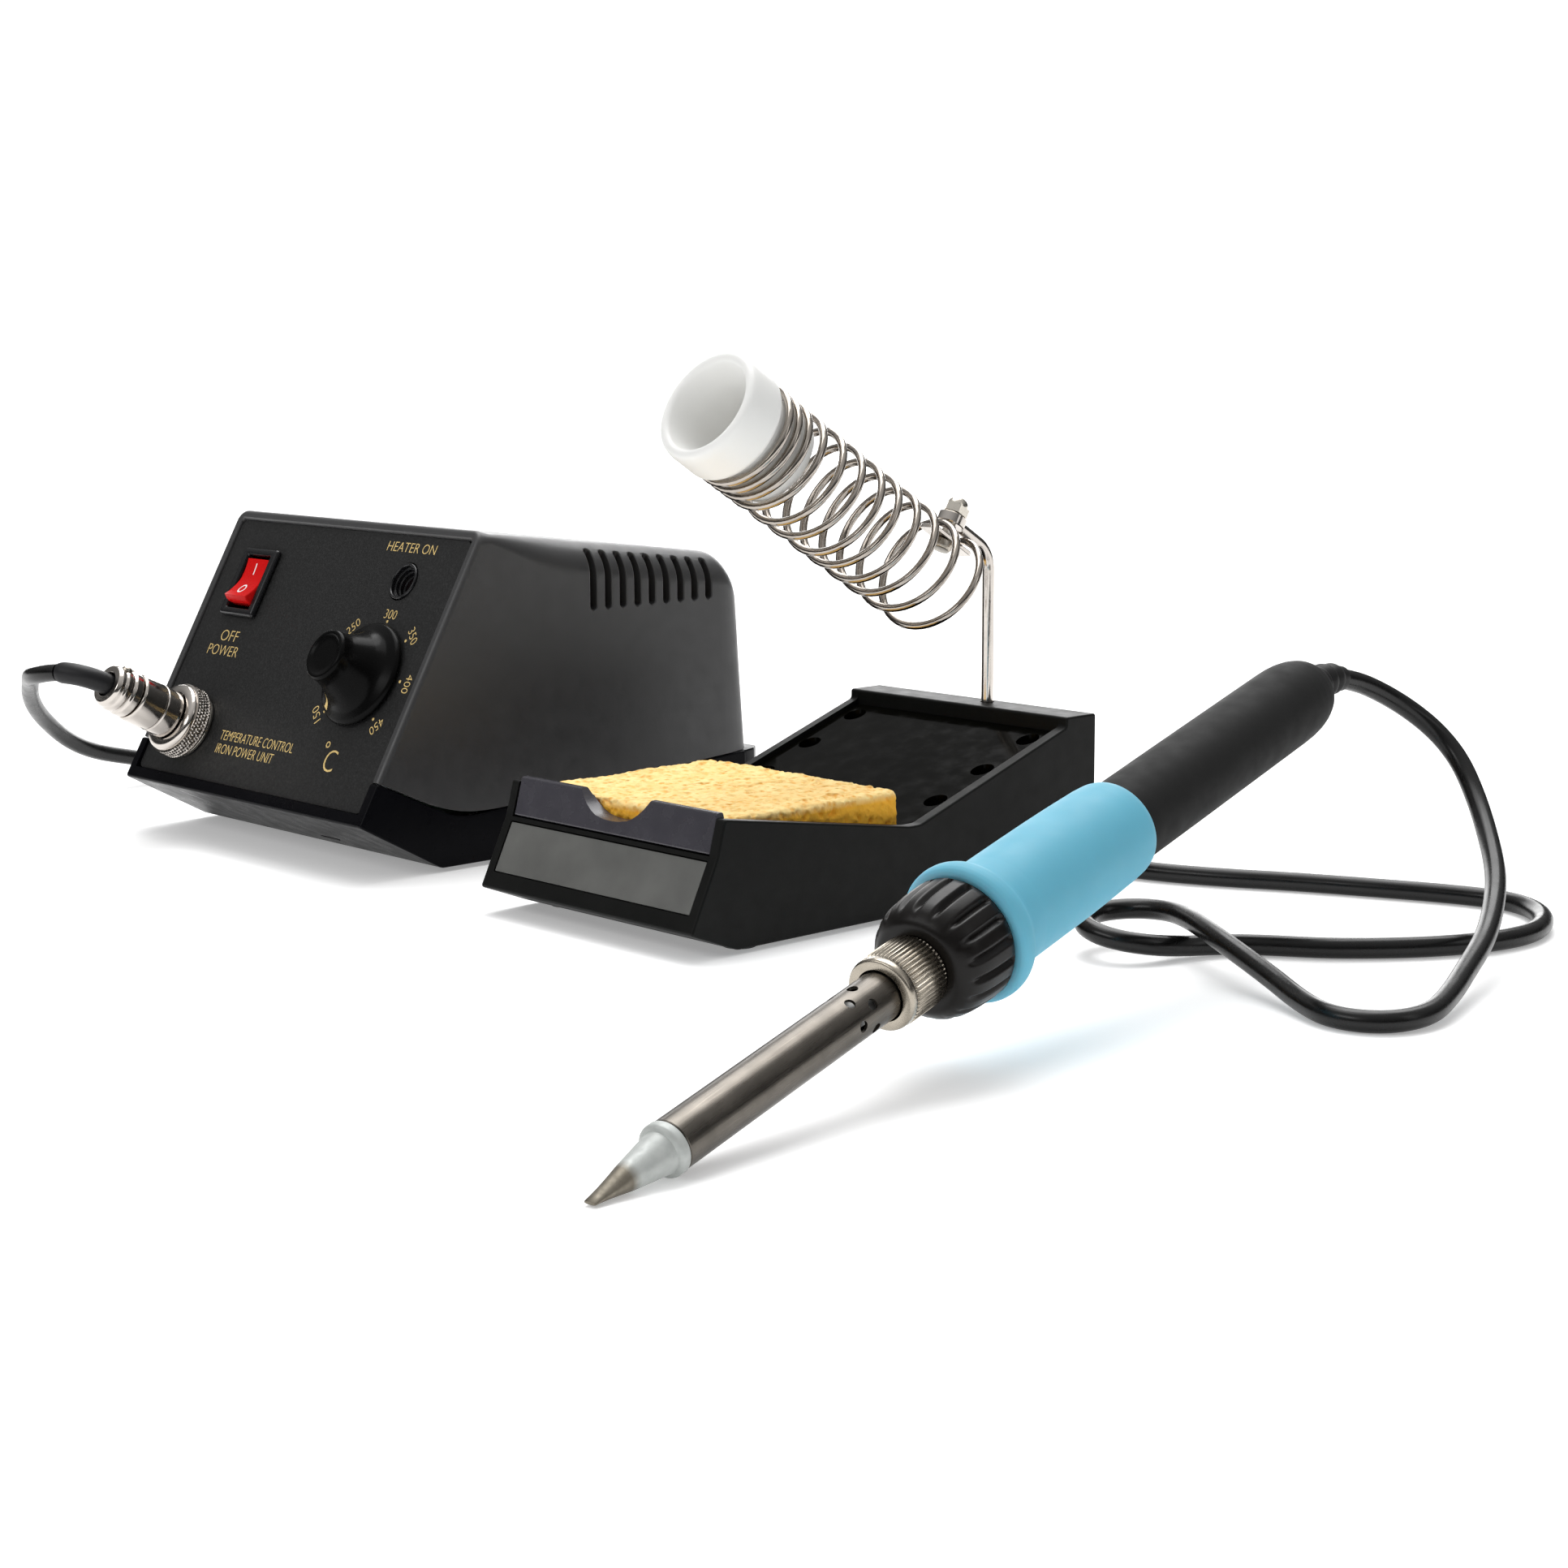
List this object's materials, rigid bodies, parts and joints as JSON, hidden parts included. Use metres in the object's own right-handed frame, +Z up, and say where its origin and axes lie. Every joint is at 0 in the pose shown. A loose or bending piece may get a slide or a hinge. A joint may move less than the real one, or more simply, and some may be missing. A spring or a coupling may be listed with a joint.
{
  "type": "soldering iron station",
  "caption": "Bench soldering station: power unit with dial, rocker and plug, stand with sponge tray and coil holder, and an iron on a flexible lead.",
  "frame": {"origin": "centre of the footprint of everything but the lead, on the bench", "axes": "+X to the right along both fronts, +Y to the rear, +Z up"},
  "size_m": [0.4706, 0.3215, 0.1404],
  "materials": {
    "dark_plastic": "satin, fine texture",
    "black_gloss": "glossy",
    "black_satin": "satin",
    "panel_black": "fine matt texture",
    "red_plastic": "glossy, translucent",
    "lamp_red": "clear tinted",
    "nickel": "nickel plated",
    "chrome": "polished",
    "steel": "brushed",
    "tip_plating": "dull plating",
    "rubber": "matt",
    "cord_rubber": "smooth",
    "blue_grip": "soft matt",
    "white_ceramic": "smooth",
    "sponge": "open cellulose foam",
    "plate_grey": "satin",
    "copper": "enamelled wire",
    "board_green": "coated board"
  },
  "bodies": {
    "power_unit": {"station_cover": "dark_plastic", "station_base": "black_gloss", "front_panel": "panel_black", "switch_housing": "black_satin", "lamp_bezel": "black_satin", "heater_lamp": "lamp_red", "potentiometer": "steel", "potentiometer_nut": "nickel", "panel_socket": "nickel", "socket_nut": "nickel", "plug_shell": "chrome", "plug_clamp": "chrome", "clamp_screw_1": "steel", "clamp_screw_2": "steel", "cable_sleeve": "rubber", "transformer_core": "steel", "transformer_winding": "copper", "circuit_board": "board_green", "mains_gland": "black_satin", "fuse_holder": "black_satin", "station_foot_1": "rubber", "station_foot_2": "rubber", "station_foot_3": "rubber", "station_foot_4": "rubber", "iron_cord": "cord_rubber"},
    "rocker": {"power_rocker": "red_plastic"},
    "knob": {"temperature_knob": "black_gloss", "knob_shaft": "steel"},
    "plug_ring": {"coupling_ring": "chrome"},
    "stand": {"stand_base": "black_satin", "front_plate": "plate_grey", "ramp_plate": "black_gloss", "stand_foot_1": "rubber", "stand_foot_2": "rubber", "stand_foot_3": "rubber", "stand_foot_4": "rubber"},
    "tray": {"sponge_tray": "black_gloss"},
    "wet_sponge": {"sponge": "sponge"},
    "post": {"stand_post": "chrome"},
    "holder": {"holder_spring": "chrome", "spring_collar": "white_ceramic", "clamp_strip": "chrome", "clamp_bolt": "steel"},
    "cap_nut": {"dome_nut": "nickel"},
    "iron": {"iron_tip": "tip_plating", "iron_barrel": "steel", "heater_element": "white_ceramic", "front_cap": "black_satin", "grip_sleeve": "blue_grip", "handle": "dark_plastic", "strain_relief": "rubber"},
    "tip_nut": {"barrel_nut": "nickel"}
  },
  "joints": [
    {"name": "power_rocker_tilt", "type": "hinge", "parent": "power_unit", "child": "rocker", "pos_m": [-0.16543, 0.02282, 0.07121], "axis": [1, 0, 0], "range_deg": [0, 24]},
    {"name": "temperature_knob_turn", "type": "hinge", "parent": "power_unit", "child": "knob", "pos_m": [-0.09363, 0.01075, 0.05206], "axis": [0, 0.8729, -0.4879], "range_deg": [0, 283]},
    {"name": "coupling_ring_turn", "type": "hinge", "parent": "power_unit", "child": "plug_ring", "pos_m": [-0.16543, -0.00416, 0.03359], "axis": [0, -0.8729, 0.4879], "continuous": true},
    {"name": "stand_draw_forward", "type": "slide", "parent": "power_unit", "child": "stand", "axis": [0, -1, 0], "range_m": [0, 0.05]},
    {"name": "sponge_tray_lift", "type": "slide", "parent": "stand", "child": "tray", "axis": [0, 0, 1], "range_m": [0, 0.035]},
    {"name": "sponge_lift", "type": "slide", "parent": "tray", "child": "wet_sponge", "axis": [0, 0, 1], "range_m": [0, 0.02]},
    {"name": "post_swing", "type": "hinge", "parent": "stand", "child": "post", "pos_m": [0.02687, 0.13176, 0.045], "axis": [0, 0, 1], "range_deg": [-90, 90]},
    {"name": "holder_pan", "type": "hinge", "parent": "post", "child": "holder", "pos_m": [0.02687, 0.11704, 0.09511], "axis": [0, 0.5195, 0.8545], "range_deg": [-30, 30]},
    {"name": "dome_nut_turn", "type": "hinge", "parent": "holder", "child": "cap_nut", "pos_m": [0.02687, 0.11883, 0.09806], "axis": [0, 0.5195, 0.8545], "continuous": true},
    {"name": "iron_lift", "type": "slide", "parent": "power_unit", "child": "iron", "axis": [0, 0, 1], "range_m": [0, 0.08], "deforming": ["iron_cord"]},
    {"name": "barrel_nut_turn", "type": "hinge", "parent": "iron", "child": "tip_nut", "pos_m": [0.17082, -0.04958, 0.02177], "axis": [-0.1533, 0.962, 0.226], "continuous": true}
  ]
}
